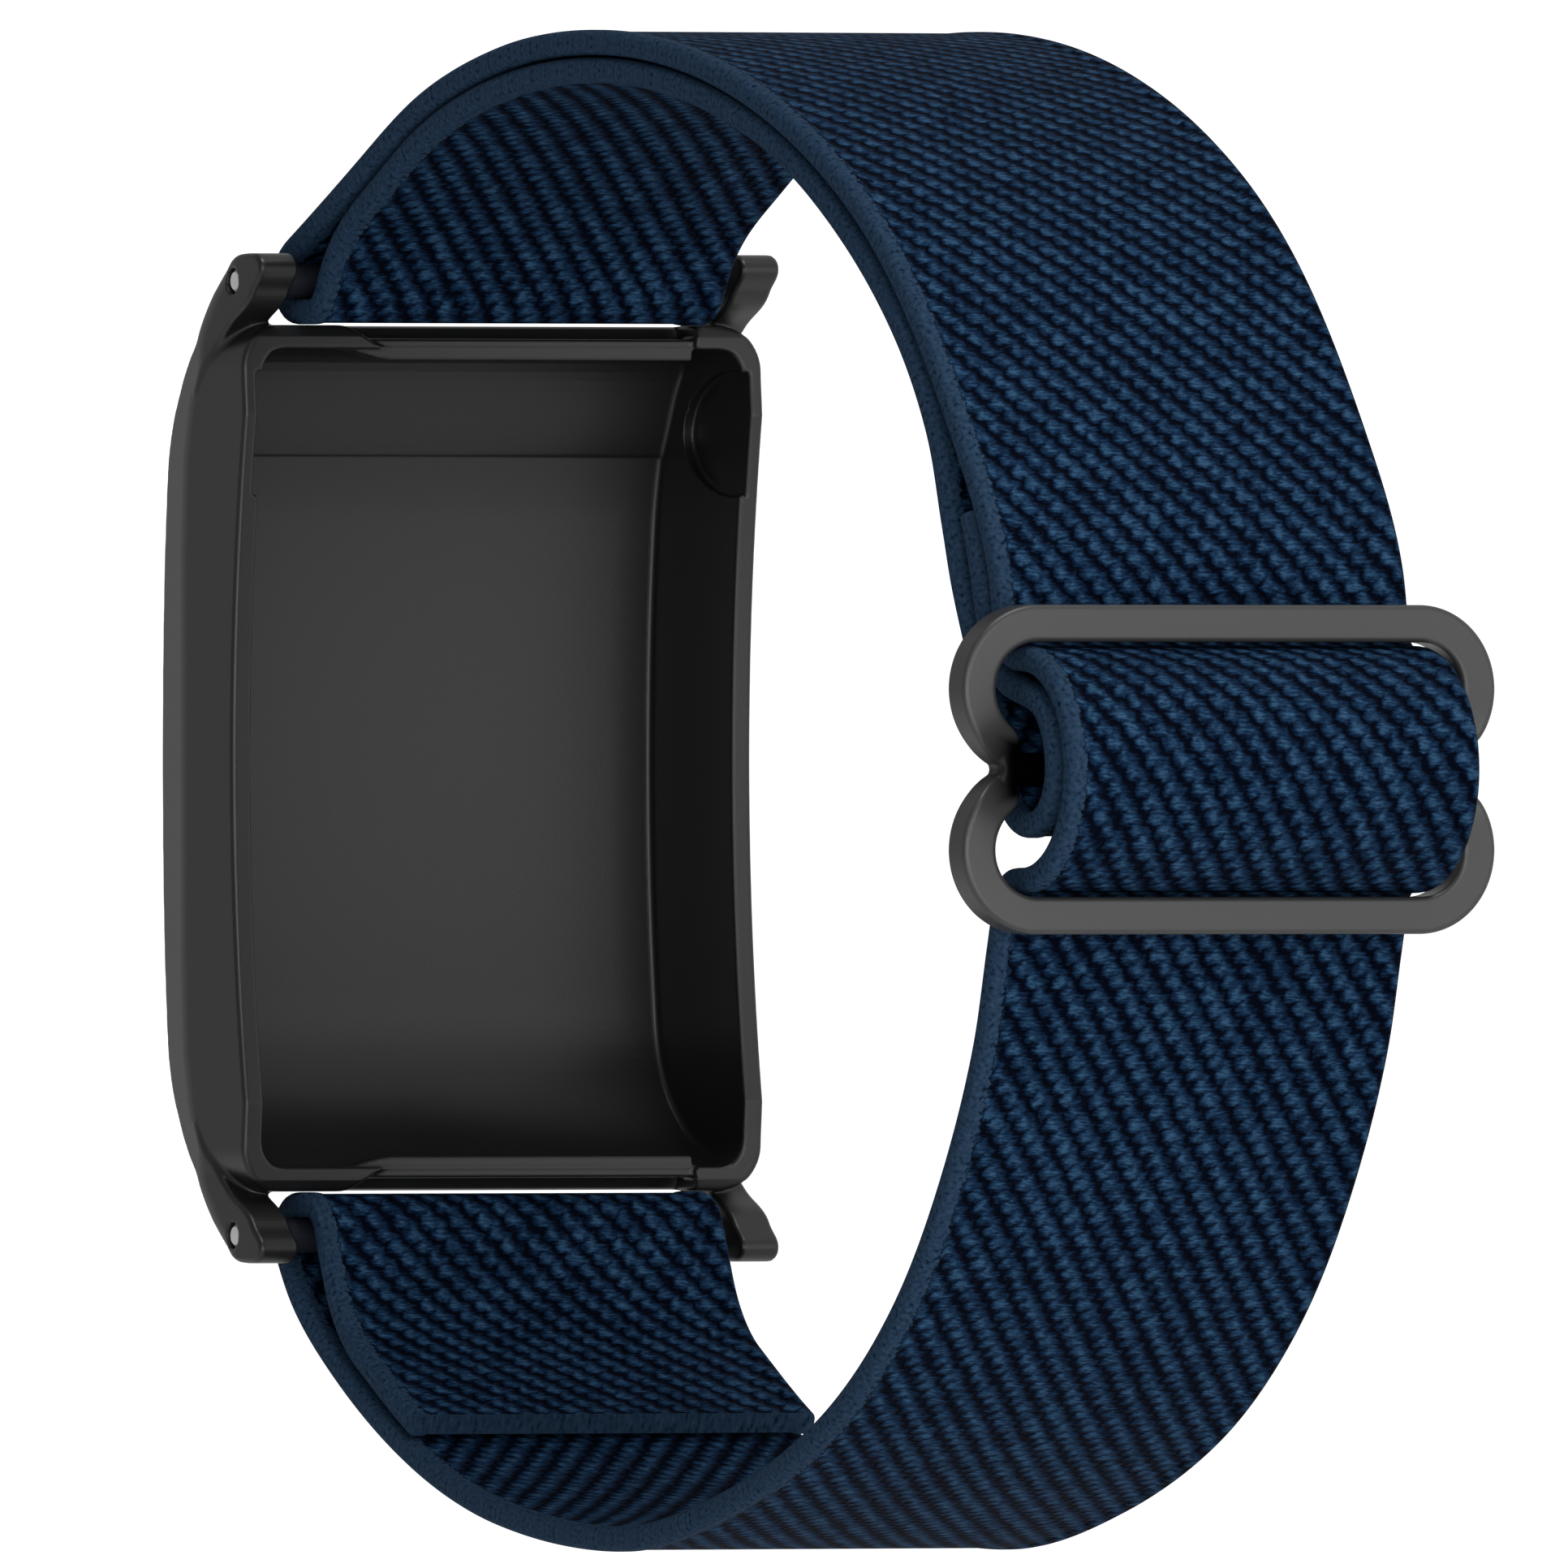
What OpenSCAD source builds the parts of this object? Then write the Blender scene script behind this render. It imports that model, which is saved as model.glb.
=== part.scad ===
// Elastic wrist band for a rectangular tracker module: a metal cradle with two pairs of
// lugs, two spring bars, one woven strap and a double ring slider that sets its length.
// Frame: +X across the wrist, +Y from the cradle to the slider, +Z along the cradle.
// The origin is the middle of the wrist opening. Outlines are drawn in the Y-Z plane as
// [y, z, heading] anchors, where y counts from the cradle's rim and becomes Y at the end.

/* [Cradle] */
// Width of the cradle across the wrist
case_w = 25.5; // [24.5:0.1:27]
// Length of the cradle between the outsides of its end walls
case_len = 37.6; // [37:0.1:38.5]
// Depth from the rim, at mid length, to the outer face
case_depth = 8.1; // [7.9:0.1:8.6]
// Thickness of the side walls at the rim
wall = 0.95; // [0.8:0.05:1.1]
// Thickness of the floor
floor_t = 1.1; // [0.9:0.1:1.3]
// Thickness of each lug along the spring bar
lug_t = 1.9; // [1.7:0.1:2.1]

/* [Spring bars] */
// Distance of each spring bar's axis from the cradle's middle
pin_z = 20.8; // [20.7:0.05:20.9]
// Outer diameter of the spring bar's tube
tube_d = 1.5; // [1.4:0.05:1.5]
// Diameter of the tip that sits in the lug's hole
tip_d = 1.0; // [0.9:0.05:1.05]
// Diameter of the hole through each lug
lug_hole_d = 1.15; // [1.1:0.05:1.25]
// How far each tip can be pushed in
tip_travel = 1.85; // [1.8:0.05:2]

/* [Strap] */
// Width of the webbing
strap_w = 19.8; // [18:0.1:20]
// Thickness of the webbing
strap_t = 1.1; // [0.9:0.05:1.1]

/* [Slider] */
// Width of the slider across the strap
slider_w = 25.75; // [25:0.25:27]
// Height of the slider along the strap
slider_h = 14.1; // [14:0.1:14.3]
// Width of the metal round each slot
slider_bar = 1.6; // [1.4:0.05:1.6]
// Thickness of the slider's plate
slider_t = 1.6; // [1.4:0.1:1.7]
// Diameter of the slider's middle bar
middle_bar_d = 1.8; // [1.5:0.1:2]

/* [Hidden] */
$fn = 64;

rim_y = -33;            // Y of the rim's plane, so that the origin is in the wrist opening
half_len = case_len / 2;
rim_rise = 1.22;        // how far the rim's ends stand towards the wrist
rim_arc_r = 92;         // radius of the rim's hollow between them
outer_y = -case_depth;
floor_y = outer_y + floor_t;
side_edge_y = -4.4;     // where the side walls start to lean in
side_lean = 0.42;       // how far they have leaned at the outer face
corner_r = 2;
bar_play = 0.04;        // radial clearance of the webbing and the tips round the spring bars
slider_y = 68.2;        // middle of the slider's plate
slider_z = -0.5;
body_half = 10.6;       // half the length of a spring bar's tube
tube_bore_d = 1.05;
tip_recess = 0.12;      // how far the tip's end sits inside the lug's outer face
scoop_w = 15.1;         // width of the scoop behind each snap lip
scoop_x = -2;           // the scoop's middle, off the middle of the band
recess_r = 3.1;         // round recess inside each side wall
recess_z = 14.1;
recess_depth = 0.3;
tip_inner = 4.55 + tip_travel;  // where each tip's inner end stops inside the tube
stitch_d = 0.28;
stitch_gap = 0.03;

// ---- Outlines: smooth curves through anchors [y, z, heading in degrees] ----

function heading_vector(a) = [cos(a), sin(a)];
function turn_between(a, b) = let (d = b - a) d - 360 * round(d / 360);
// The handle length that makes a cubic follow a circle between two headings.
function handle(a, b) = let (
    chord = norm([b.x - a.x, b.y - a.y]),
    turn = abs(turn_between(a.z, b.z))
) turn < 1 ? chord / 3 : chord * 2 / 3 * tan(turn / 4) / sin(turn / 2);
function cubic(p, q, r, s, t) = pow(1 - t, 3) * p + 3 * t * pow(1 - t, 2) * q
    + 3 * t * t * (1 - t) * r + pow(t, 3) * s;
// A point and its heading at share t of the way between two anchors.
function along(a, b, t) = let (
    k = handle(a, b),
    p = [a.x, a.y], s = [b.x, b.y],
    q = p + k * heading_vector(a.z), r = s - k * heading_vector(b.z),
    e = 0.001,
    here = cubic(p, q, r, s, t),
    ahead = cubic(p, q, r, s, t + e) - cubic(p, q, r, s, t - e)
) [here.x, here.y, atan2(ahead.y, ahead.x)];
// How many straight pieces stand for the curve between two anchors.
function pieces(a, b) = max(2, ceil(abs(turn_between(a.z, b.z)) / 6));
function curve(anchors, first, last) = [
    for (i = [first:last - 1])
        let (n = pieces(anchors[i], anchors[i + 1]))
            for (k = [0:n - 1]) along(anchors[i], anchors[i + 1], k / n),
    anchors[last]
];
function shifted(path, d) = [
    for (p = path) [p.x - d * sin(p.z), p.y + d * cos(p.z)]
];
function reversed(list) = [for (i = [len(list) - 1:-1:0]) list[i]];
function flat(path) = [for (p = path) [p.x, p.y]];

// Turns an outline in [y, z] into a solid of width w, with its middle at x.
module across(w, x = 0) {
    translate([x - w / 2, rim_y, 0])
        rotate([90, 0, 90])
            linear_extrude(w) children();
}

// ---- The strap's route, from its sewn lower end to its end inside the slider ----

fold_r = tube_d / 2 + bar_play + strap_t / 2;
slot_z = slider_h / 2 - slider_bar - strap_t / 2 - 0.15;
STRAP = [
    // lower tail, from its cut end to the lower spring bar
    [11.35, -28.95, 154], [6.3, -26.1, 149.5], [3.5, -22.8, 112.5], [2.6, -20.5, 108],
    [1.3, -pin_z + fold_r, 180], [0, -pin_z + fold_r, 180], [-fold_r, -pin_z, 270],
    // lower half of the loop
    [-0.65, -22.3, 303], [0.65, -23.9, 316], [4.2, -26.6, 327], [11.7, -30.5, 338],
    [19.2, -32.7, 349.5], [30.2, -33.75, 360], [41.1, -32, 374.5], [49, -29.2, 385],
    [56.95, -23.7, 404], [61.35, -18.2, 417], [64.35, -12.6, 427.5], [65.6, -8.5, 434],
    // out through the lower slot, over the middle bar and back in through the upper slot
    [66.25, slider_z - slot_z - 0.95, 436], [67.4, slider_z - slot_z, 360],
    [68, slider_z - slot_z, 360], [68 + slot_z, slider_z, 450],
    [68, slider_z + slot_z, 540], [67.5, slider_z + slot_z, 540],
    [66.35, slider_z + slot_z + 0.95, 463],
    // upper half of the loop, outer layer
    [65.75, 8.1, 469], [62.65, 13.5, 485.5], [57.6, 19.75, 494], [51.45, 24.65, 509],
    [44.2, 28.1, 520], [27.5, 30.95, 540], [19.2, 30.25, 550.5], [11.7, 28.2, 562],
    [6.05, 25.4, 567.5], [-0.6, pin_z + 1.23, 566],
    // round the upper spring bar
    [-fold_r, pin_z, 630], [0, pin_z - fold_r, 720], [1.4, pin_z - fold_r, 720],
    [2.6, pin_z - fold_r + 0.76, 785],
    // upper half of the loop, inner layer
    [4.15, 22.4, 763], [8.25, 25, 749], [12.15, 27, 742.5], [19.4, 29.05, 730],
    [27.5, 29.75, 720], [43.8, 26.95, 700], [50.75, 23.4, 687], [57.1, 18.2, 673],
    [60.1, 14, 658], [61.6, 9.8, 650], [62.35, 7.6, 652], [64.1, 3.9, 656],
    [66.3, -0.6, 630],
    // round the slider's middle bar, and up between the layers to the end
    [68.65, slider_z - 2.4, 720], [71.05, slider_z, 810], [68.9, 2.6, 888],
    [67.5, 2.95, 884], [66.35, 3.35, 864], [65.1, 4.85, 836], [64.35, 7.2, 824],
    [63.25, 10.4, 832]
];
LOWER_TOP = 0;
LOWER_MID = 12;
SLIDER_IN = 19;
SLIDER_OUT = 25;
UPPER_MID = 31;
UPPER_MID_INNER = 44;
LOOP_START = 52;
LOOP_END = len(STRAP) - 1;

module webbing(first, last) {
    path = curve(STRAP, first, last);
    color("midnightblue") across(strap_w)
        polygon(concat(shifted(path, strap_t / 2), reversed(shifted(path, -strap_t / 2))));
}

module webbing_lower_anchor() webbing(LOWER_TOP, LOWER_MID);
module webbing_lower_run() webbing(LOWER_MID, SLIDER_IN);
module webbing_slider_bulge() webbing(SLIDER_IN, SLIDER_OUT);
module webbing_upper_outer_run() webbing(SLIDER_OUT, UPPER_MID);
module webbing_upper_anchor() webbing(UPPER_MID, UPPER_MID_INNER);
module webbing_upper_inner_run() webbing(UPPER_MID_INNER, LOOP_START);
module webbing_bar_loop() webbing(LOOP_START, LOOP_END);

// ---- Stitching: short threads lying on both faces of the sewn layers ----

STITCHES = 7;
module stitch_row(anchor, side) {
    pitch = (strap_w - 3) / STITCHES;
    d = side * (strap_t / 2 + stitch_gap + stitch_d / 2);
    y = STRAP[anchor].x - d * sin(STRAP[anchor].z);
    z = STRAP[anchor].y + d * cos(STRAP[anchor].z);
    for (i = [0:STITCHES - 1])
        translate([(i + 0.5 - STITCHES / 2) * pitch - pitch * 0.36, y + rim_y, z])
            rotate([0, 90, 0])
                cylinder(h = pitch * 0.72, d = stitch_d, $fn = 20);
}
module tail_stitching() {
    color("navy") stitch_row(LOWER_TOP + 10, -1);
}
module bar_loop_stitching() {
    color("navy") {
        stitch_row(LOOP_END - 1, -1);
        stitch_row(LOOP_START - 2, -1);
    }
}

// ---- Spring bars ----

module bar_tube(z) {
    color("silver")
        translate([-body_half, rim_y, z]) rotate([0, 90, 0]) difference() {
            cylinder(h = 2 * body_half, d = tube_d);
            translate([0, 0, -1]) cylinder(h = 2 * body_half + 2, d = tube_bore_d);
        }
}
// side is 1 for the right end (+X) and -1 for the left end.
module bar_tip(side, z) {
    end = case_w / 2 - tip_recess;
    bevel = 0.12;
    color("lightgray")
        translate([side * tip_inner, rim_y, z]) rotate([0, 90 * side, 0])
            rotate_extrude()
                polygon([
                    [0, 0], [tip_d / 2, 0], [tip_d / 2, end - tip_inner - bevel],
                    [tip_d / 2 - bevel, end - tip_inner], [0, end - tip_inner]
                ]);
}
// A coil wound from a flat sector of wire, one step of the spiral at a time.
module bar_spring(z) {
    coil_r = 0.4;
    wire = 0.16;
    turns = 14;
    color("gray")
        translate([-tip_inner + 0.1, rim_y, z]) rotate([0, 90, 0])
            linear_extrude(2 * tip_inner - 0.2, twist = -360 * turns, slices = turns * 14, segments = 8, $fn = 8)
                polygon(concat(
                    [for (a = [0:24:72]) (coil_r + wire / 2) * heading_vector(a)],
                    [for (a = [72:-24:0]) (coil_r - wire / 2) * heading_vector(a)]
                ));
}
module upper_bar_tube() bar_tube(pin_z);
module upper_bar_spring() bar_spring(pin_z);
module upper_bar_tip_right() bar_tip(1, pin_z);
module upper_bar_tip_left() bar_tip(-1, pin_z);
module lower_bar_tube() bar_tube(-pin_z);
module lower_bar_spring() bar_spring(-pin_z);
module lower_bar_tip_right() bar_tip(1, -pin_z);
module lower_bar_tip_left() bar_tip(-1, -pin_z);

// ---- Slider: a plate with two long rings that share a round middle bar ----

lobe_r = 2 + slider_bar;
lobe_x = slider_w / 2 - lobe_r;
lobe_z = slider_h / 2 - lobe_r;
module stadium(r, x, z) {
    translate([-x, z - r]) square([2 * x, 2 * r]);
    for (side = [-1, 1]) translate([side * x, z]) circle(r);
}
module slider_buckle() {
    slot_r = lobe_r - slider_bar;
    neck_x = strap_w / 2 + 0.1;
    neck_z = 1.25;
    color("dimgray") {
        translate([0, slider_y + slider_t / 2 + rim_y, slider_z]) rotate([90, 0, 0])
            linear_extrude(slider_t) difference() {
                union() for (side = [-1, 1]) stadium(lobe_r, lobe_x, side * lobe_z);
                for (side = [-1, 1]) stadium(slot_r, lobe_x, side * lobe_z);
                // room for the webbing's turn, up to the two short necks
                translate([0.4 - neck_x, -lobe_z]) square([2 * neck_x - 0.8, 2 * lobe_z]);
                for (z = [-lobe_z, neck_z])
                    translate([-neck_x, z]) square([2 * neck_x, lobe_z - neck_z]);
            }
        translate([-neck_x, slider_y + rim_y, slider_z]) rotate([0, 90, 0])
            cylinder(h = 2 * neck_x, d = middle_bar_d);
    }
}

// ---- Cradle ----

// One half of the cradle's side outline, from mid length of the outer face to the rim.
BODY = [
    [outer_y, 0, 90], [outer_y + 0.55, 10.3, 83], [outer_y + 1.1, 13.9, 72],
    [-5.05, 16.8, 47], [-3.4, 18.35, 40], [-2.4, half_len, 20]
];
rim_points = [
    [0.35, half_len], [0.6, 17.6], [1.05, 16.3],
    for (z = [14.7:-2.1:0]) [rim_arc_r - sqrt(rim_arc_r * rim_arc_r - z * z), z]
];
LUG_OUTER = [
    [-4.4, 16.8, 65], [-3.06, 19.2, 53], [-0.8, 21.3, 36], [0.7, 22, 0], [1.9, 22, 0],
    [2.8, 21.3, 270]
];
LUG_INNER = [[0.75, 18.9, 233], [-1.75, 17.4, 210], [-3.5, 16, 235]];

function mirrored(points) = [for (p = reversed(points)) [p.x, -p.y]];

module body_outline() {
    half = concat(flat(curve(BODY, 0, len(BODY) - 1)), [[-1.2, half_len]], rim_points);
    polygon(half);
    polygon(mirrored(half));
}
module lug_outline() {
    points = concat(flat(curve(LUG_OUTER, 0, 5)), flat(curve(LUG_INNER, 0, 2)));
    polygon(points);
    polygon(mirrored(points));
}
// A rounded rectangle w by h in the X-Z plane, from Y = from to Y = to.
module rounded_block(w, h, r, from, to) {
    translate([0, rim_y + to, 0]) rotate([90, 0, 0]) linear_extrude(to - from) {
        square([w - 2 * r, h], center = true);
        square([w, h - 2 * r], center = true);
        for (x = [-1, 1], z = [-1, 1]) translate([x * (w / 2 - r), z * (h / 2 - r)]) circle(r);
    }
}
// Takes the lean of the side walls off a solid.
module lean_cut() {
    for (side = [-1, 1])
        translate([0, rim_y, -25]) linear_extrude(50)
            polygon([
                [side * case_w / 2, side_edge_y], [side * (case_w / 2 + 1), side_edge_y],
                [side * (case_w / 2 + 1), outer_y - 1],
                [side * (case_w / 2 - side_lean * 1.3), outer_y - 1]
            ]);
}
// The pocket's side outline: the floor follows the outer face, then turns up at the ends.
POCKET = [
    [floor_y, 0, 90], [floor_y, 4, 90], [floor_y + 0.5, 10.3, 84], [floor_y + 0.95, 13.15, 76],
    [-2.6, half_len - 0.85, 0]
];
module pocket_outline() {
    half = concat(flat(curve(POCKET, 0, len(POCKET) - 1)), [[3, half_len - 0.85], [3, 0]]);
    polygon(half);
    polygon(mirrored(half));
}
module pocket() {
    intersection() {
        rounded_block(case_w - 2 * wall, case_len - 1.7, 1.6, floor_y - 1, 3);
        across(case_w) pocket_outline();
    }
    // shallow round recess in each side wall
    for (side = [0, 1]) mirror([side, 0, 0])
        translate([-case_w / 2 + wall - recess_depth, rim_y, recess_z]) rotate([0, 90, 0])
            cylinder(h = 1.2, r = recess_r);
}
// The end walls thin down to a snap lip, with a slanted scoop outside it.
module lip_cuts() {
    for (side = [-1, 1])
        across(scoop_w, scoop_x)
            polygon([
                [-0.9, side * (half_len + 1)], [2, side * (half_len + 1)],
                [2, side * (half_len - 0.5)], [0.6, side * (half_len - 0.5)]
            ]);
}
module lugs() {
    for (side = [-1, 1]) across(lug_t, side * (case_w / 2 - lug_t / 2)) lug_outline();
}
module case_frame() {
    color("black") difference() {
        union() {
            intersection() {
                across(case_w) body_outline();
                rounded_block(case_w, case_len, 2, -12, 5);
            }
            lugs();
        }
        pocket();
        lip_cuts();
        lean_cut();
        for (z = [-pin_z, pin_z])
            translate([-case_w / 2 - 1, rim_y, z]) rotate([0, 90, 0])
                cylinder(h = case_w + 2, d = lug_hole_d);
    }
}

case_frame();
upper_bar_tube();
upper_bar_spring();
upper_bar_tip_right();
upper_bar_tip_left();
lower_bar_tube();
lower_bar_spring();
lower_bar_tip_right();
lower_bar_tip_left();
tail_stitching();
bar_loop_stitching();
slider_buckle();
webbing_lower_anchor();
webbing_lower_run();
webbing_slider_bulge();
webbing_upper_outer_run();
webbing_upper_anchor();
webbing_upper_inner_run();
webbing_bar_loop();
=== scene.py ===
import math

import bpy
import numpy as np
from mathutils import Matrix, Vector


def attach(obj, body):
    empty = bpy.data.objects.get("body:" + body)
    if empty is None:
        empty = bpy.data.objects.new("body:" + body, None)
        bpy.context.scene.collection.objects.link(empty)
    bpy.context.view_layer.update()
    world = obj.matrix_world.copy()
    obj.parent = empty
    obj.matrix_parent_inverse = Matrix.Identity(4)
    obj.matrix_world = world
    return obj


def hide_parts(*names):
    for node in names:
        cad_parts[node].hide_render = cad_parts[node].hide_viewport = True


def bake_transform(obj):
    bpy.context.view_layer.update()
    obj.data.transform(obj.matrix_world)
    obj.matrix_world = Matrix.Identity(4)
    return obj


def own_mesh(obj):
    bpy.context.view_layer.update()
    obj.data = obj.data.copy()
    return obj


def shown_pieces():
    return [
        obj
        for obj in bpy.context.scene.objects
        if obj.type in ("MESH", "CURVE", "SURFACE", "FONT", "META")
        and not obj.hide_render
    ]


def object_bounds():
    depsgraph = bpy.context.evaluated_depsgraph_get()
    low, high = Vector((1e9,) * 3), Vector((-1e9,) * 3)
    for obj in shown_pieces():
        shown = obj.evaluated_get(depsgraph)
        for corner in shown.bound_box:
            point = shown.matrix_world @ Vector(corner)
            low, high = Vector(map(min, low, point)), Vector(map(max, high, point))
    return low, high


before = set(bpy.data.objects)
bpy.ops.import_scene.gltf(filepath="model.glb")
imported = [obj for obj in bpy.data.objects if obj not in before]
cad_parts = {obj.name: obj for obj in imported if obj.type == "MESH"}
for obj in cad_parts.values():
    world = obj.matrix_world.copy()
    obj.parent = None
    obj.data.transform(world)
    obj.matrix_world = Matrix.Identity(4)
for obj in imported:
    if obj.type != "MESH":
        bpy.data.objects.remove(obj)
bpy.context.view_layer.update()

MM = 0.001
RIM_Y = -33.0  # Y of the cradle's rim plane in the row frame, in mm

# ---------------------------------------------------------------- curves


def unit(degrees):
    return np.array([math.cos(math.radians(degrees)), math.sin(math.radians(degrees))])


def cubic(a, b, n):
    """n points from anchor a to anchor b, each [y, z, heading], and the headings there."""
    p, s = np.array(a[:2], float), np.array(b[:2], float)
    d = b[2] - a[2]
    turn = math.radians(abs(d - 360 * round(d / 360)))
    chord = np.linalg.norm(s - p)
    k = chord / 3 if turn < 0.017 else chord * 2 / 3 * math.tan(turn / 4) / math.sin(turn / 2)
    q, r = p + k * unit(a[2]), s - k * unit(b[2])
    t = np.linspace(0, 1, n)[:, None]
    return (1 - t) ** 3 * p + 3 * t * (1 - t) ** 2 * q + 3 * t * t * (1 - t) * r + t**3 * s


def outline(anchors, n=14):
    rows = [cubic(a, b, n)[:-1] for a, b in zip(anchors, anchors[1:])]
    return np.concatenate([*rows, [anchors[-1][:2]]])


# ---------------------------------------------------------------- solids as distance fields


def polygon_distance(px, py, points):
    px, py = np.broadcast_arrays(px, py)
    nearest = np.full(px.shape, 1e9)
    inside = np.zeros(px.shape, bool)
    for (x0, y0), (x1, y1) in zip(points, np.roll(points, -1, axis=0)):
        ex, ey = x1 - x0, y1 - y0
        wx, wy = px - x0, py - y0
        t = np.clip((wx * ex + wy * ey) / (ex * ex + ey * ey + 1e-12), 0, 1)
        nearest = np.minimum(nearest, (wx - ex * t) ** 2 + (wy - ey * t) ** 2)
        if y0 != y1:
            spans = (y0 > py) != (y1 > py)
            inside ^= spans & (px < ex * (py - y0) / ey + x0)
    distance = np.sqrt(nearest)
    return np.where(inside, -distance, distance)


def both(a, b, r=0.0):
    """Intersection, with its outer edge rounded to radius r."""
    if r == 0:
        return np.maximum(a, b)
    a, b = a + r, b + r
    return np.minimum(np.maximum(a, b), 0) + np.hypot(np.maximum(a, 0), np.maximum(b, 0)) - r


def either(a, b, r=0.0):
    """Union, with its inner corner filled to radius r."""
    return -both(-a, -b, r)


def without(a, b, r=0.0):
    return both(a, -b, r)


def slab(v, low, high):
    return np.maximum(low - v, v - high)


def rounded_rectangle(x, z, half_x, half_z, r):
    qx, qz = np.abs(x) - half_x + r, np.abs(z) - half_z + r
    return np.minimum(np.maximum(qx, qz), 0) + np.hypot(np.maximum(qx, 0), np.maximum(qz, 0)) - r


def smooth(v, low, high):
    t = np.clip((v - low) / (high - low), 0, 1)
    return t * t * (3 - 2 * t)


def solid(name, field, xs, ys, zs):
    """The surface of a distance field, sampled on a lattice of lines xs, ys, zs (mm)."""
    lines = (xs, ys, zs)
    f = np.broadcast_to(
        field(xs[:, None, None], ys[None, :, None], zs[None, None, :]), [len(v) for v in lines]
    )
    cells = np.array(f.shape) - 1
    total = int(np.prod(cells))
    count = np.zeros(total)
    sums = np.zeros((3, total))
    quads = []
    for axis in range(3):
        near = np.take(f, range(f.shape[axis] - 1), axis)
        far = np.take(f, range(1, f.shape[axis]), axis)
        at = np.argwhere((near < 0) != (far < 0))
        n, m = near[tuple(at.T)], far[tuple(at.T)]
        share = n / (n - m)
        where = [lines[k][at[:, k]] for k in range(3)]
        step = lines[axis][at[:, axis] + 1] - lines[axis][at[:, axis]]
        where[axis] = where[axis] + share * step
        u, v = (axis + 1) % 3, (axis + 2) % 3
        corners = []
        for du, dv in ((0, 0), (1, 0), (1, 1), (0, 1)):
            cell = at.copy()
            cell[:, u] -= du
            cell[:, v] -= dv
            ok = np.all((cell >= 0) & (cell < cells), axis=1)
            flat = np.where(ok, np.ravel_multi_index(np.clip(cell, 0, cells - 1).T, cells), -1)
            count += np.bincount(flat[ok], minlength=total)
            for k in range(3):
                sums[k] += np.bincount(flat[ok], where[k][ok], total)
            corners.append(flat)
        quad = np.stack(corners, 1)
        quad[n >= 0] = quad[n >= 0][:, ::-1]
        quads.append(quad[np.all(quad >= 0, axis=1)])
    used = np.flatnonzero(count)
    number = np.full(total, -1)
    number[used] = np.arange(len(used))
    points = (sums[:, used] / count[used]).T
    faces = number[np.concatenate(quads)]

    def slope(p, e=0.02):
        g = [
            field(*(p + e * d).T) - field(*(p - e * d).T)
            for d in np.eye(3)
        ]
        g = np.stack(g, 1) / (2 * e)
        return g / np.maximum(np.linalg.norm(g, axis=1), 1e-6)[:, None]

    for _ in range(3):
        move = np.clip(field(*points.T), -0.08, 0.08)
        points = points - move[:, None] * slope(points)
    return mesh_object(name, points, faces, slope(points))


def mesh_object(name, points, faces, normals=None, uv=None):
    """points in mm as [x, y from the rim, z]; faces as rows of indices."""
    mesh = bpy.data.meshes.new(name)
    co = (points + [0, RIM_Y, 0]) * MM
    mesh.vertices.add(len(co))
    mesh.vertices.foreach_set("co", co.astype(np.float32).ravel())
    faces = np.asarray(faces, np.int32)
    mesh.loops.add(faces.size)
    mesh.loops.foreach_set("vertex_index", faces.ravel())
    mesh.polygons.add(len(faces))
    size = faces.shape[1]
    mesh.polygons.foreach_set("loop_start", np.arange(0, faces.size, size, dtype=np.int32))
    mesh.polygons.foreach_set("use_smooth", np.ones(len(faces), bool))
    mesh.update(calc_edges=True)
    mesh.validate()
    if uv is not None:
        layer = mesh.uv_layers.new(name="weave")
        layer.data.foreach_set("uv", uv[faces.ravel()].astype(np.float32).ravel())
    if normals is not None:
        mesh.normals_split_custom_set_from_vertices(normals)
    obj = bpy.data.objects.new(name, mesh)
    bpy.context.scene.collection.objects.link(obj)
    return obj


def steps(*stops):
    """Lattice lines through the stops, each [from, to, spacing]."""
    rows = [np.linspace(a, b, max(2, round((b - a) / s) + 1))[:-1] for a, b, s in stops]
    return np.concatenate([*rows, [stops[-1][1]]])


# ---------------------------------------------------------------- cradle

CRADLE_W, CRADLE_L = 12.75, 18.95  # half the width and half the length
POCKET_W, POCKET_L = 11.8, 17.95  # half the pocket's width and length at the rim
PIN_Z = 20.8  # height of the spring bars' axes above and below the middle
HOLE_R = 0.57
LIP_START, LIP_END, LIP_REACH = 4.4, 22.3, 0.58  # along the end wall, and inwards from it
RECESS_Z, RECESS_R = 14.2, 2.75
BODY = [
    [-8.0, 0, 90], [-7.5, 10.3, 84.5], [-6.95, 13.9, 73], [-5.6, 16.3, 55], [-4.4, 17.6, 42],
    [-2.9, 18.75, 16],
]
RIM = [[-0.9, 18.96], [0.7, 18.95], [0.98, 18.4], [1.06, 17.2], [1.12, 16.3]]
LUG = [
    [-4.4, 16.8, 65], [-3.06, 19.2, 53], [-0.8, 21.3, 38], [0.5, 21.95, 8], [1.9, 22, 0],
    [2.75, 21.4, 275], [1.9, 20.3, 235], [-0.35, 18.85, 215], [-2.2, 17.4, 215], [-3.6, 16.0, 230],
]


def mirrored(half):
    return np.concatenate([half, half[::-1] * [1, -1]])


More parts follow.
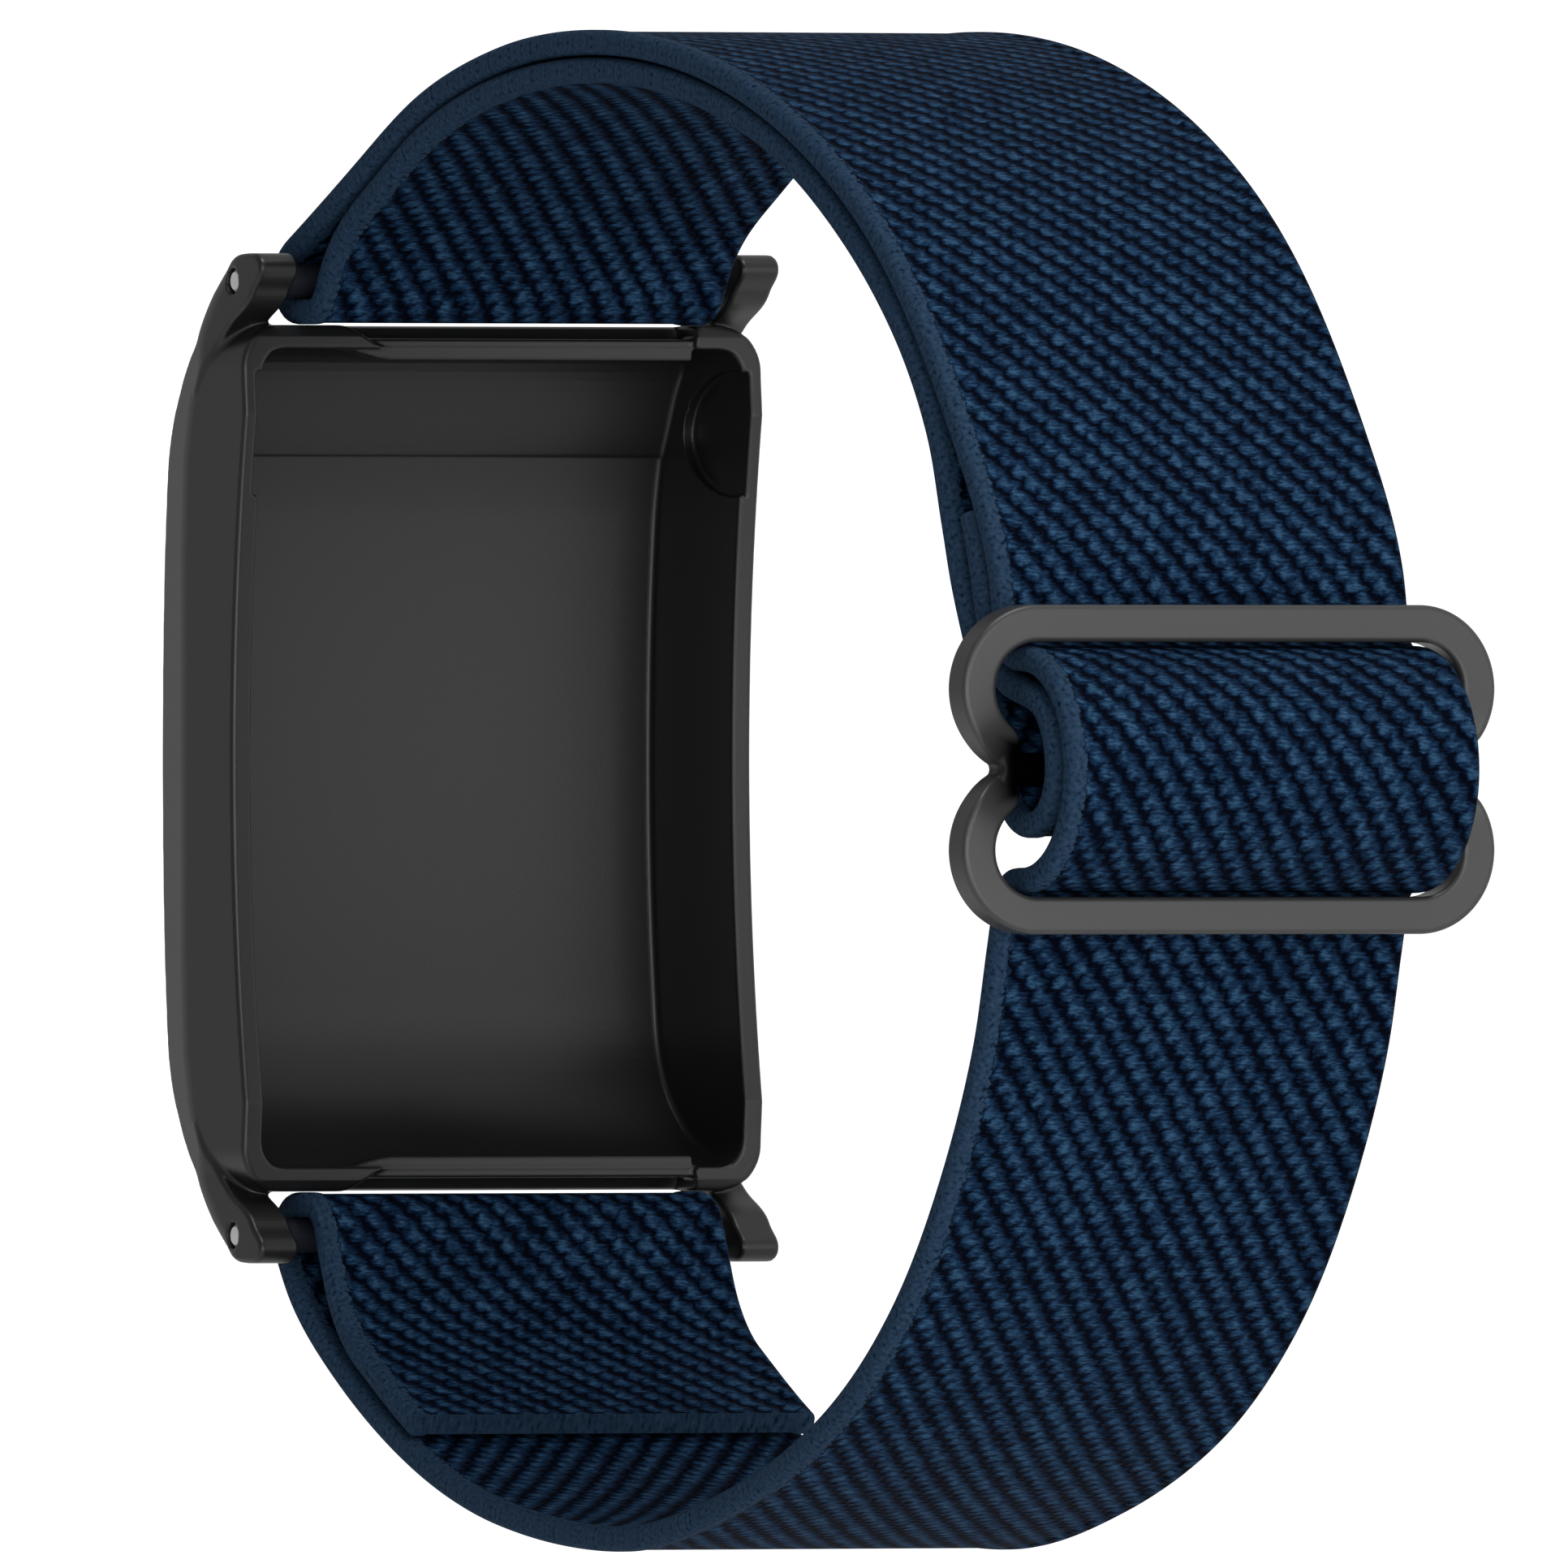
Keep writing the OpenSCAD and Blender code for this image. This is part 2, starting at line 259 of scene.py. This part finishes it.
rim_z = np.linspace(15.0, 0, 40)[:, None]
rim_line = np.concatenate([92 - np.sqrt(92**2 - rim_z**2), rim_z], 1)
body_points = mirrored(np.concatenate([outline(BODY), RIM, rim_line]))
lug_points = outline(LUG)
upper = outline([[-7.0, 0, 90], [-6.5, 10.3, 84], [-6.0, 13.15, 77]])
upper = np.concatenate([upper, outline([[-5.85, 13.3, 62], [-2.4, 17.95, 0]]), [[4, 17.95]]])
lower = outline([
    [-7.0, 0, 90], [-6.5, 10.3, 84], [-6.05, 13.2, 72], [-4.3, 15.9, 45], [-2.3, 17.25, 22],
    [-0.3, 17.9, 6],
])
lower = np.concatenate([lower, [[4, 17.95]]])
pocket_points = np.concatenate([upper, lower[::-1] * [1, -1]])


def cradle(x, y, z):
    ax, az = np.abs(x), np.abs(z)
    edge = np.interp(az, [9, 13, 15.2, 17.4, 18.7, 20.2, 21.3], [-4.7, -4.5, -4, -3.25, -2.7, -1.4, 0])
    lean = (ax - CRADLE_W + 0.2 * (edge - y)) / math.hypot(1, 0.2)
    body = both(polygon_distance(y, z, body_points), rounded_rectangle(x, z, CRADLE_W, CRADLE_L, 2), 0.22)
    lug = both(polygon_distance(y, az, lug_points), slab(ax, 10.87, CRADLE_W), 0.2)
    whole = both(either(body, lug, 0.35), lean, 0.08)
    draft = 0.4 * smooth(-y, 0.5, 7.0)
    hollow = both(
        polygon_distance(y, z, pocket_points),
        rounded_rectangle(x, z, POCKET_W - draft, POCKET_L, 1.3), 0.25
    )
    # the end walls' rim swings inwards into a thin snap lip, with a scoop behind it;
    # a runs along the end wall from the +X side wall
    a = CRADLE_W - x
    lip = np.where(a < 15, smooth(a, LIP_START, 7.6), smooth(-a, -22.42, -22.3))
    scoop = np.maximum(17.8 + 1.3 * (1 - lip) - az, -(y + 1.1 * (az - 17.85)) / 1.487)
    scoop = np.maximum(scoop, np.maximum(4.0 - a, a - 22.35))
    snap = both(slab(az, POCKET_L - LIP_REACH * lip, 18.3), slab(y, -0.35, 0.62), 0.1)
    snap = np.maximum(snap, np.maximum(LIP_START - a, a - LIP_END))
    recess = both(np.hypot(0.66 * y, z - RECESS_Z) - RECESS_R, slab(ax, 10.9, 12.1), 0.15)
    hollow = either(hollow, recess)
    whole = without(whole, hollow, 0.16)
    whole = without(whole, scoop, 0.18)
    whole = either(whole, snap, 0.2)
    hole = np.hypot(y, az - PIN_Z) - HOLE_R
    return without(whole, hole, 0.06)


xs = steps(
    [-13.0, -10.6, 0.11], [-10.6, -8.9, 0.17], [-8.9, 4.9, 0.4], [4.9, 9.0, 0.15], [9, 10.6, 0.2],
    [10.6, 13.0, 0.11],
)
ys = steps([-8.3, -6.2, 0.13], [-6.2, -3, 0.16], [-3, 3.1, 0.11])
half = steps([0.0, 10.8, 0.45], [10.8, 16.2, 0.16], [16.2, 19.2, 0.1], [19.2, 22.2, 0.13])
zs = np.concatenate([-half[:0:-1], half])
cradle_mesh = solid("cradle", cradle, xs, ys, zs)
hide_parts("case_frame")
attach(cradle_mesh, "case")

# ---------------------------------------------------------------- slider

SLIDER_Y, SLIDER_Z = 68.2, -0.5
LOBE_R, SLOT_R, LOBE_X, LOBE_Z = 3.6, 2.0, 9.275, 3.45


def slider(x, y, z):
    y, z = y - SLIDER_Y, z - SLIDER_Z
    ax, az = np.abs(x), np.abs(z)
    past = np.maximum(ax - LOBE_X, 0)
    outside = either(np.hypot(past, z - LOBE_Z) - LOBE_R, np.hypot(past, z + LOBE_Z) - LOBE_R, 0.5)
    slots = either(np.hypot(past, az - LOBE_Z) - SLOT_R, np.maximum(ax - 9.95, az - LOBE_Z), 0.5)
    dip = 0.75 * np.exp(-((z / 1.4) ** 2)) * smooth(-ax, -12.6, -10.6)
    faces = np.maximum(y - 0.8 + dip, -0.8 - y - 0.35 * dip)
    plate = both(without(outside, slots), faces, 0.22)
    bar = both(np.hypot(y + 0.5, z) - 0.72, ax - 10.6, 0.1)
    return either(plate, bar, 0.3)


slider_mesh = solid(
    "slider", slider, steps([-13.1, 13.1, 0.12]), steps([66.9, 69.4, 0.1]), steps([-7.9, 6.9, 0.11])
)
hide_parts("slider_buckle")
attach(slider_mesh, "slider")

# ---------------------------------------------------------------- webbing

FOLD = 0.75 + 0.04 + 0.55  # tube radius, gap and half the webbing's thickness
SLOT = 4.75  # height of each slot's middle from the slider's
STRAP = [
    [11.35, -28.95, 154], [6.3, -26.1, 149.5], [3.5, -22.8, 112.5], [2.6, -20.5, 108],
    [1.3, -PIN_Z + FOLD, 180], [0, -PIN_Z + FOLD, 180], [-FOLD, -PIN_Z, 270],
    [-0.65, -22.3, 303], [0.65, -23.9, 316], [4.2, -26.6, 327], [11.7, -30.5, 338],
    [19.2, -32.7, 349.5], [30.2, -33.75, 360], [41.1, -32, 374.5], [49, -29.2, 385],
    [56.95, -23.7, 404], [61.35, -18.2, 417], [64.35, -12.6, 427.5], [65.6, -8.5, 434],
    [66.25, SLIDER_Z - SLOT - 0.95, 436], [67.4, SLIDER_Z - SLOT, 360],
    [68, SLIDER_Z - SLOT, 360], [68 + SLOT, SLIDER_Z, 450],
    [68, SLIDER_Z + SLOT, 540], [67.5, SLIDER_Z + SLOT, 540],
    [66.35, SLIDER_Z + SLOT + 0.95, 463],
    [65.75, 8.1, 469], [62.65, 13.5, 485.5], [57.6, 19.75, 494], [51.45, 24.65, 509],
    [44.2, 28.1, 520], [27.5, 30.95, 540], [19.2, 30.25, 550.5], [11.7, 28.2, 562],
    [6.05, 25.4, 567.5], [-0.6, PIN_Z + 1.23, 566],
    [-FOLD, PIN_Z, 630], [0, PIN_Z - FOLD, 720], [1.4, PIN_Z - FOLD, 720],
    [2.6, PIN_Z - FOLD + 0.76, 785],
    [4.15, 22.4, 763], [8.25, 25, 749], [12.15, 27, 742.5], [19.4, 29.05, 730],
    [27.5, 29.75, 720], [43.8, 26.95, 700], [50.75, 23.4, 687], [57.1, 18.2, 673],
    [60.1, 14, 658], [61.6, 9.8, 650], [62.35, 7.6, 652], [64.1, 3.9, 656],
    [66.3, -0.6, 630],
    [68.65, SLIDER_Z - 2.4, 720], [71.05, SLIDER_Z, 810], [68.9, 2.6, 888],
    [67.5, 2.95, 884], [66.35, 3.35, 864], [65.1, 4.85, 836], [64.35, 7.2, 824],
    [63.25, 10.4, 832],
]
HALF_W, HALF_T = 9.95, 0.55
STEP = 0.25
PER_ANCHOR = 59  # dense points from one anchor to the next

dense = outline(STRAP, PER_ANCHOR + 1)
gone = np.concatenate([[0], np.cumsum(np.linalg.norm(np.diff(dense, axis=0), axis=1))])
rows = round(gone[-1] / STEP)
length = np.linspace(0, gone[-1], rows + 1)
centre = np.stack([np.interp(length, gone, dense[:, k]) for k in (0, 1)], 1)
kernel = np.hanning(7)[1:-1] / np.hanning(7)[1:-1].sum()
for k in (0, 1):
    centre[2:-2, k] = np.convolve(centre[:, k], kernel, "valid")
heading = np.gradient(centre, axis=0)
heading /= np.linalg.norm(heading, axis=1)[:, None]
normal = np.stack([-heading[:, 1], heading[:, 0]], 1)


def place(anchor):
    """Row of the strap nearest to an anchor given as its number in STRAP."""
    return int(np.argmin(np.linalg.norm(centre - STRAP[anchor][:2], axis=1) + 50 * (
        np.abs(length - gone[anchor * PER_ANCHOR]) > 3)))


# The webbing's section: two woven faces between smooth, rounded selvedges.
# Each point is [across, off the middle, distance along the section from the face's middle].
side_angles = np.radians([90, 72, 54, 36, 18, 0])
edge_x, edge_r = HALF_W - 0.42, 0.42
arc = [[edge_x + edge_r * math.cos(t), HALF_T * math.sin(t) ** 0.8] for t in side_angles]
flat = np.linspace(0, edge_x - 0.62, 30)
quarter = [[u, HALF_T - 0.07, u] for u in flat]
for extra, off in ((0.08, 0.065), (0.16, 0.02), (0.3, 0.0)):
    quarter.append([flat[-1] + extra, HALF_T - off, flat[-1] + extra])
for p in arc:
    last = quarter[-1]
    quarter.append([p[0], p[1], last[2] + math.hypot(p[0] - last[0], p[1] - last[1])])
quarter = np.array(quarter)
top = np.concatenate([quarter[::-1] * [-1, 1, -1], quarter[1:]])
under = top[-2:0:-1] * [1, -1, 1]
section = np.concatenate([top, under])


def webbing(name, first, last, capped=()):
    use = slice(first, last + 1)
    c, n = centre[use], normal[use]
    ring = len(section)
    x = np.broadcast_to(section[None, :, 0], (len(c), ring))
    y = c[:, None, 0] + n[:, None, 0] * section[None, :, 1]
    z = c[:, None, 1] + n[:, None, 1] * section[None, :, 1]
    points = np.stack([x, y, z], -1)
    # outward normals of the section, turned into the strap's plane at each row
    forward = np.roll(section, -1, 0)[:, :2] - np.roll(section, 1, 0)[:, :2]
    out = np.stack([-forward[:, 1], forward[:, 0]], 1)
    out /= np.linalg.norm(out, axis=1)[:, None]
    normals = np.stack(
        [
            np.broadcast_to(out[None, :, 0], x.shape),
            n[:, None, 0] * out[None, :, 1],
            n[:, None, 1] * out[None, :, 1],
        ],
        -1,
    )
    uv = np.stack(
        [np.broadcast_to(-section[None, :, 2], x.shape), np.broadcast_to(length[use][:, None], x.shape)], -1
    )
    i, j = np.meshgrid(np.arange(len(c) - 1), np.arange(ring), indexing="ij")
    k = (j + 1) % ring
    faces = np.stack([i * ring + j, i * ring + k, (i + 1) * ring + k, (i + 1) * ring + j], -1)
    points, normals, uv = points.reshape(-1, 3), normals.reshape(-1, 3), uv.reshape(-1, 2)
    faces = faces.reshape(-1, 4)
    half = len(top)
    for end in capped:
        row = 0 if end == "start" else len(c) - 1
        base = row * ring
        strip = []
        for m in range(half - 1):
            upper_a, upper_b = base + m, base + m + 1
            lower_a = base + (ring - m) % ring
            lower_b = base + (ring - m - 1) % ring
            strip.append([upper_a, upper_b, lower_b, lower_a])
        strip = np.array(strip)
        added = np.unique(strip)
        number = np.full(len(points), -1)
        number[added] = len(points) + np.arange(len(added))
        sign = -1 if end == "start" else 1
        h = heading[use][row] * sign
        points = np.concatenate([points, points[added]])
        normals = np.concatenate([normals, np.broadcast_to([0, h[0], h[1]], (len(added), 3))])
        uv = np.concatenate([uv, points[added][:, 1::-1] + [30, 0]])
        strip = number[strip]
        faces = np.concatenate([faces, strip[:, ::-1] if end == "start" else strip])
    return mesh_object(name, points, faces, normals, uv)


def row_at(y, near):
    """Row where the strap passes Y = y, closest along the strap to an anchor."""
    close = np.abs(length - gone[near * PER_ANCHOR]) < 12
    return int(np.argmin(np.where(close, np.abs(centre[:, 0] - y), 99)))


lower_split = row_at(55, 15)
slot_in = place(18)
slot_out = place(26) - 8
upper_split = row_at(54.5, 29)
inner_split = row_at(54.5, 46)
loop_in = place(51)
tail_split = place(58)
end = rows


strap = [
    webbing("webbing_lower", 0, lower_split, ["start"]),
    webbing("webbing_lower_far", lower_split, slot_in),
    webbing("webbing_over_slider", slot_in, slot_out),
    webbing("webbing_upper_far", slot_out, upper_split),
    webbing("webbing_upper", upper_split, inner_split),
    webbing("webbing_inner_far", inner_split, loop_in),
    webbing("webbing_round_bar", loop_in, tail_split),
    webbing("webbing_end", tail_split, end, ["end"]),
]
for piece in (strap[0], strap[4]):
    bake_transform(piece)
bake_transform(strap[1])
for piece in (strap[3], strap[5], strap[7]):
    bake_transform(piece)
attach(strap[2], "slider")
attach(strap[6], "slider")
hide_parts("webbing_lower_anchor")
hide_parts("webbing_lower_run")
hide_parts("webbing_slider_bulge")
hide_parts("webbing_upper_outer_run")
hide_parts("webbing_upper_anchor")
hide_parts("webbing_upper_inner_run")
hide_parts("webbing_bar_loop")
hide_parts("webbing_bar_loop")

# ---------------------------------------------------------------- threads and springs


def tube(name, paths, radius, up, sides=8):
    """Round threads along paths of [x, y from the rim, z], each tapered at its ends."""
    points, faces = [], []
    turn = np.arange(sides) * 2 * math.pi / sides
    for path in paths:
        forward = np.gradient(path, axis=0)
        forward /= np.linalg.norm(forward, axis=1)[:, None]
        out = up - forward * (forward @ up)[:, None]
        out /= np.linalg.norm(out, axis=1)[:, None]
        aside = np.cross(forward, out)
        size = np.full(len(path), radius)
        size[[0, -1]] = 0.1 * radius
        ring = np.cos(turn)[:, None] * out[:, None] + np.sin(turn)[:, None] * aside[:, None]
        start = sum(len(p) for p in points)
        points.append((path[:, None] + ring * size[:, None, None]).reshape(-1, 3))
        i, j = np.meshgrid(np.arange(len(path) - 1), np.arange(sides), indexing="ij")
        k = (j + 1) % sides
        face = np.stack([i * sides + j, i * sides + k, (i + 1) * sides + k, (i + 1) * sides + j], -1)
        faces.append(face.reshape(-1, 4) + start)
    return mesh_object(name, np.concatenate(points), np.concatenate(faces))


STITCHES, STITCH_ROW, THREAD_R = 7, 17, 0.13
COIL_TURNS, COIL_R, COIL_WIRE_R = 7, 0.4, 0.08


def stitch_paths(anchor):
    """A row of stitches that dive into the outer woven face."""
    row, pitch = place(anchor), STITCH_ROW / STITCHES
    t = np.linspace(0, 1, 9)
    lift = 0.45 + 0.17 * np.sin(math.pi * t) ** 0.6
    across = [(k - 3.5 + 0.14 + 0.72 * t) * pitch for k in range(STITCHES)]
    return [np.column_stack([x, centre[row] - normal[row] * lift[:, None]]) for x in across]


def outwards(anchor):
    return np.array([0, *-normal[place(anchor)]])


tail_thread = tube("tail_thread", stitch_paths(10), THREAD_R, outwards(10))
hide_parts("tail_stitching")
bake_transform(tail_thread)
loop_thread = tube("loop_thread", stitch_paths(60), THREAD_R, outwards(60))
end_thread = tube("end_thread", stitch_paths(50), THREAD_R, outwards(50))
for piece in (loop_thread, end_thread):
    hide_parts("bar_loop_stitching")
    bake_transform(piece)

# each spring is made in two halves, one running out from the middle towards each end, both attached to
# their bar
coils = []
for level, side_z in (("upper", PIN_Z), ("lower", -PIN_Z)):
    for hand, sign in (("right", 1), ("left", -1)):
        t = np.linspace(0, 1, 113)
        angle = sign * t * COIL_TURNS * 2 * math.pi
        path = np.column_stack([
            sign * (0.01 + 6.27 * t), COIL_R * np.cos(angle), side_z + COIL_R * np.sin(angle)
        ])
        coil = tube(f"{level}_{hand}_coil", [path], COIL_WIRE_R, np.array([1.0, 0, 0]), 6)
        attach(coil, f"{level}_bar")
        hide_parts(f"{level}_bar_spring")
        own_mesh(coil)
        coils.append(coil)

# ---------------------------------------------------------------- materials


class Shader:
    """A material whose nodes are written as expressions."""

    def __init__(self, name):
        self.material = bpy.data.materials.new(name)
        self.material.use_nodes = True
        self.tree = self.material.node_tree
        self.surface = self.tree.nodes["Principled BSDF"]

    def put(self, socket, value):
        if isinstance(value, bpy.types.NodeSocket):
            self.tree.links.new(value, socket)
        else:
            socket.default_value = value

    def node(self, kind, inputs=(), **settings):
        made = self.tree.nodes.new(kind)
        for key, value in settings.items():
            setattr(made, key, value)
        for key, value in dict(inputs).items():
            self.put(made.inputs[key], value)
        return made

    def math(self, operation, *values):
        made = self.node("ShaderNodeMath", operation=operation)
        for k, value in enumerate(values):
            self.put(made.inputs[k], value)
        return made.outputs[0]

    def add(self, *values):
        total = values[0]
        for value in values[1:]:
            total = self.math("ADD", total, value)
        return total

    def times(self, a, b):
        return self.math("MULTIPLY", a, b)

    def hump(self, turns, power):
        """1 at each whole turn, with a narrow valley half way between."""
        wave = self.math("ABSOLUTE", self.math("COSINE", self.times(turns, math.pi)))
        return self.math("POWER", wave, power)

    def step(self, value, low, high, start=0.0, stop=1.0):
        inputs = {"Value": value, "From Min": low, "From Max": high, "To Min": start, "To Max": stop}
        made = self.node("ShaderNodeMapRange", inputs, interpolation_type="SMOOTHSTEP")
        return made.outputs[0]

    def noise(self, vector, scale, detail=2.0):
        inputs = {"Vector": vector, "Scale": scale, "Detail": detail}
        return self.node("ShaderNodeTexNoise", inputs).outputs["Fac"]

    def ramp(self, value, *stops):
        made = self.node("ShaderNodeValToRGB", {"Fac": value})
        band = made.color_ramp
        while len(band.elements) < len(stops):
            band.elements.new(0.5)
        for element, (place, colour) in zip(band.elements, stops):
            element.position = place
            element.color = (*colour, 1)
        return made.outputs["Color"]

    def mix(self, share, a, b):
        made = self.node("ShaderNodeMix", data_type="RGBA")
        self.put(made.inputs["Factor"], share)
        self.put(made.inputs[6], a)
        self.put(made.inputs[7], b)
        return made.outputs[2]


def metal(name, colour, metallic, roughness, grain=0.0, hollow=None):
    """A plain material; hollow paints shade into it round a line along X at [y from the rim, z] in mm."""
    s = Shader(name)
    s.put(s.surface.inputs["Base Color"], (*colour, 1))
    if hollow:
        # painted shade: near the line and within the strap's width, the colour goes to near black and
        # specular and metal fall away
        at = s.node("ShaderNodeSeparateXYZ", {"Vector": s.node("ShaderNodeTexCoord").outputs["Object"]})
        off = s.math("ABSOLUTE", s.add(at.outputs[2], -hollow[1] * MM))
        near = s.step(off, 1.0 * MM, 1.7 * MM)
        out = s.step(s.math("ABSOLUTE", at.outputs[0]), 10.2 * MM, 11.6 * MM)
        lit = s.math("MAXIMUM", near, out)
        s.put(s.surface.inputs["Base Color"], s.mix(lit, (0.001, 0.001, 0.001, 1), (*colour, 1)))
        s.put(s.surface.inputs["Specular IOR Level"], s.times(lit, 0.5))
        s.put(s.surface.inputs["Metallic"], s.times(lit, metallic))
        s.put(s.surface.inputs["Roughness"], roughness)
        return s.material
    s.put(s.surface.inputs["Metallic"], metallic)
    s.put(s.surface.inputs["Roughness"], roughness)
    if grain:
        where = s.node("ShaderNodeTexCoord").outputs["Object"]
        height = s.noise(where, 9000.0, 3.0)
        bump = s.node("ShaderNodeBump", {"Height": height, "Strength": grain, "Distance": 0.00002})
        s.put(s.surface.inputs["Normal"], bump.outputs[0])
    return s.material


def woven(name):
    s = Shader(name)
    uv = s.node("ShaderNodeUVMap", uv_map="weave").outputs[0]
    apart = s.node("ShaderNodeSeparateXYZ", {"Vector": uv})
    across, along = apart.outputs[0], apart.outputs[1]
    wander = s.math("SUBTRACT", s.noise(uv, 1.4, 4.0), 0.5)
    wander_too = s.math("SUBTRACT", s.noise(uv, 2.3, 3.0), 0.5)
    rib = s.add(s.times(across, 0.735), s.times(along, 0.56), s.times(wander, 0.5))
    cross = s.add(s.times(along, 1.14), s.times(across, -0.735), s.times(wander_too, 0.8))
    cell = s.node("ShaderNodeCombineXYZ", {"X": s.math("ROUND", rib), "Y": s.math("ROUND", cross)})
    tint = s.node("ShaderNodeTexWhiteNoise", {"Vector": cell.outputs[0]}).outputs["Value"]
    bead = s.hump(cross, 0.8)
    ridge = s.hump(s.add(rib, s.times(bead, 0.22)), 1.0)
    height = s.times(ridge, s.add(s.times(bead, 0.36), 0.64))
    # short bright fibres that run across the strap, their brightness in the colour partly painted highlight
    streaks = s.node("ShaderNodeCombineXYZ", {"X": s.times(across, 2.6), "Y": s.times(along, 9.0)})
    grain = s.noise(streaks.outputs[0], 1.0, 3.0)
    # the colour follows the weave's height: painted shade in the hollows between beads, painted highlight
    # on their tops, plus random tone per bead
    level = s.add(
        s.times(height, 0.74),
        s.times(s.math("SUBTRACT", tint, 0.5), 0.16),
        s.times(s.math("SUBTRACT", grain, 0.5), 1.15),
    )
    # the ramp runs from painted shade at its dark end to painted highlight at its light end, over the
    # yarn's navy
    face = s.ramp(
        level,
        (0.16, (0.0002, 0.0014, 0.006)),
        (0.36, (0.0024, 0.0105, 0.030)),
        (0.58, (0.0068, 0.024, 0.059)),
        (0.92, (0.030, 0.082, 0.157)),
    )
    speck = s.noise(uv, 4.5, 5.0)
    smooth_edge = s.ramp(
        speck, (0.3, (0.0025, 0.008, 0.02)), (0.42, (0.014, 0.033, 0.065)), (0.7, (0.028, 0.056, 0.1))
    )
    ragged = s.times(s.math("SUBTRACT", speck, 0.5), 0.7)
    near_border = s.step(s.add(s.times(across, -1.0), ragged), 9.15, 9.3)
    far_border = s.step(s.add(across, ragged), 9.75, 9.95)
    border = s.math("MAXIMUM", near_border, far_border)
    s.put(s.surface.inputs["Base Color"], s.mix(border, face, smooth_edge))
    s.put(s.surface.inputs["Roughness"], 0.75)
    s.put(s.surface.inputs["Specular IOR Level"], 0.03)
    relief = s.add(
        s.times(height, s.math("SUBTRACT", 1.0, border)), s.times(grain, 0.3)
    )
    bump = s.node("ShaderNodeBump", {"Height": relief, "Strength": 1.0, "Distance": 0.00022})
    s.put(s.surface.inputs["Normal"], bump.outputs[0])
    return s.material


black = metal("case_black", (0.008, 0.008, 0.0081), 0.0, 0.36, 0.2)
# the slider's bar gets painted shade where it sits inside the strap's wrap
grey = metal("slider_grey", (0.05, 0.05, 0.051), 0.3, 0.38, 0.0, (SLIDER_Y, SLIDER_Z))
steel = metal("bar_steel", (0.75, 0.75, 0.75), 0.3, 0.3)
dark = metal("tube_dark", (0.01, 0.012, 0.02), 0.0, 0.5)
navy = woven("webbing_navy")
thread = metal("thread_navy", (0.02, 0.045, 0.09), 0.0, 0.8)


def wear(obj, material):
    obj.data.materials.clear()
    obj.data.materials.append(material)


wear(cradle_mesh, black)
wear(slider_mesh, grey)
for piece in strap:
    wear(piece, navy)
for piece in (tail_thread, loop_thread, end_thread):
    wear(piece, thread)
for coil in coils:
    wear(coil, steel)
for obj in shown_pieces():
    if "bar_" in obj.name and obj.name.split("_")[0] in ("upper", "lower"):
        wear(obj, steel if "tip" in obj.name else dark)
    if "stitching" in obj.name:
        wear(obj, thread)

# ---------------------------------------------------------------- studio

floor_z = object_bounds()[0].z


def sheet(name, size, at, turn=(0, 0, 0)):
    bpy.ops.mesh.primitive_plane_add(size=1, location=at, rotation=turn)
    obj = bpy.context.object
    obj.name = name
    obj.scale = (*size, 1)
    return obj


pale = metal("pale", (0.9, 0.9, 0.9), 0.0, 0.9)
AZIMUTH = math.radians(152.5)
back = Vector((math.sin(AZIMUTH), -math.cos(AZIMUTH), 0))
floor = sheet("floor", (0.5, 0.5), (0, 0, floor_z - 0.04))
wear(floor, pale)
# a white room that is seen but throws no light
glow = Shader("room")
glow.put(glow.surface.inputs["Base Color"], (0, 0, 0, 1))
glow.put(glow.surface.inputs["Emission Color"], (1, 1, 1, 1))
glow.put(glow.surface.inputs["Emission Strength"], 1.1)
bpy.ops.mesh.primitive_uv_sphere_add(radius=8)
room = bpy.context.object
room.name = "room"
wear(room, glow.material)
room.visible_diffuse = room.visible_glossy = room.visible_shadow = False


def lamp(name, at, size, power):
    data = bpy.data.lights.new(name, "AREA")
    data.energy, data.size = power, size
    data.shape = "DISK"
    obj = bpy.data.objects.new(name, data)
    obj.location = at
    obj.rotation_mode = "QUATERNION"
    obj.rotation_quaternion = (-Vector(at)).to_track_quat("-Z", "Y")
    obj.visible_camera = False
    bpy.context.scene.collection.objects.link(obj)
    return obj


lamp("top", Vector((0.0, 0.15, 0.60)), 0.35, 1.6)
lamp("front", Vector((-0.1, 0.75, 0.0)), 0.4, 1.2)
lamp("fill", back * 0.75, 0.4, 1.5)

# the room's light is stronger from the camera's right and weaker from above
world = bpy.data.worlds.new("world")
bpy.context.scene.world = world
world.use_nodes = True
nodes, links = world.node_tree.nodes, world.node_tree.links
way = nodes.new("ShaderNodeTexCoord").outputs["Generated"]
facing = nodes.new("ShaderNodeVectorMath")
facing.operation = "DOT_PRODUCT"
facing.inputs[1].default_value = (-0.3, 0.12, -0.26)
links.new(way, facing.inputs[0])
level = nodes.new("ShaderNodeMath")
level.operation = "ADD"
level.inputs[1].default_value = 0.6
links.new(facing.outputs["Value"], level.inputs[0])
nodes["Background"].inputs[0].default_value = (1, 1, 1, 1)
links.new(level.outputs[0], nodes["Background"].inputs[1])

bpy.context.scene.view_settings.view_transform = "Standard"

camera_data = bpy.data.cameras.new("camera")
camera_data.lens, camera_data.sensor_width = 1600, 36
camera = bpy.data.objects.new("camera", camera_data)
bpy.context.scene.collection.objects.link(camera)
aim = Vector((0.00221, -0.00115, -0.00112))
distance = 0.0678 * camera_data.lens / camera_data.sensor_width
camera.location = aim + back * distance
camera.rotation_mode = "QUATERNION"
camera.rotation_quaternion = (-back).to_track_quat("-Z", "Y")
camera_data.clip_start, camera_data.clip_end = 0.1, 20
bpy.context.scene.camera = camera
